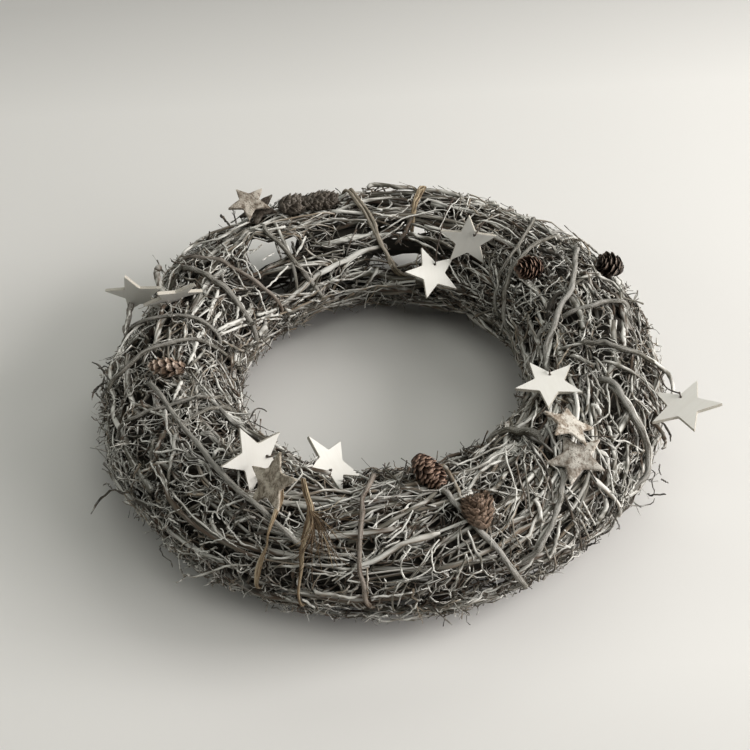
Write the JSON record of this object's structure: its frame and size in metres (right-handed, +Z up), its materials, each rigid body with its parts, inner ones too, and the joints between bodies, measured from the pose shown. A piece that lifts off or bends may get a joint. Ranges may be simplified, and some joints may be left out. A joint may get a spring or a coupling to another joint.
{
  "type": "grapevine wreath",
  "caption": "Round lying wreath of whitewashed twigs bound with vines and bast, dressed with sawn wooden stars, bark stars and larch cones.",
  "frame": {"origin": "middle of the wreath's bounding box, on the surface that it lies on", "axes": "+Z up through the hole, +Y to the far side of the picture, +X to its right"},
  "size_m": [0.4338, 0.4208, 0.1152],
  "materials": {
    "twig": "dry whitewashed bark, matt",
    "vine": "whitewashed bark, matt",
    "bast": "raw bast fibre, matt",
    "white_wood": "white paint on sawn wood, matt",
    "wire": "annealed binding wire",
    "bark": "rough pale bark",
    "cone": "dry cone scales, matt"
  },
  "bodies": {
    "root": {"twig_bunch_1": "twig", "twig_bunch_2": "twig", "twig_bunch_3": "twig", "twig_bunch_4": "twig", "twig_bunch_5": "twig", "twig_bunch_6": "twig", "twig_bunch_7": "twig", "twig_bunch_8": "twig", "twig_bunch_9": "twig", "twig_bunch_10": "twig", "long_stick_left": "vine", "vine_left_1": "vine", "vine_left_2": "vine", "vine_left_3": "vine", "vine_left_4": "vine", "vine_far_1": "vine", "vine_far_2": "vine", "vine_far_3": "vine", "vine_far_4": "vine", "vine_right_1": "vine", "vine_right_2": "vine", "vine_right_3": "vine", "vine_right_4": "vine", "vine_right_5": "vine", "vine_near_1": "vine", "vine_near_2": "vine", "vine_near_3": "vine", "vine_near_4": "vine", "stub_stick_near": "vine", "star_pick": "vine", "bast_tie_far": "bast", "bast_tie_near_1": "bast", "bast_tie_near_2": "bast", "white_star_1": "white_wood", "white_star_2": "white_wood", "white_star_3": "white_wood", "white_star_4": "white_wood", "white_star_5": "white_wood", "white_star_6": "white_wood", "white_star_7": "white_wood", "white_star_8": "white_wood", "white_star_3_wire": "wire", "white_star_4_wire": "wire", "white_star_5_wire": "wire", "white_star_6_wire": "wire", "white_star_7_wire": "wire", "white_star_8_wire": "wire", "bark_star_1": "bark", "bark_star_2": "bark", "bark_star_3": "bark", "bark_star_4": "bark", "bark_star_5": "bark", "cone_1": "cone", "cone_2": "cone", "cone_3": "cone", "cone_4": "cone", "cone_5": "cone", "cone_6": "cone", "cone_7": "cone"}
  },
  "joints": []
}
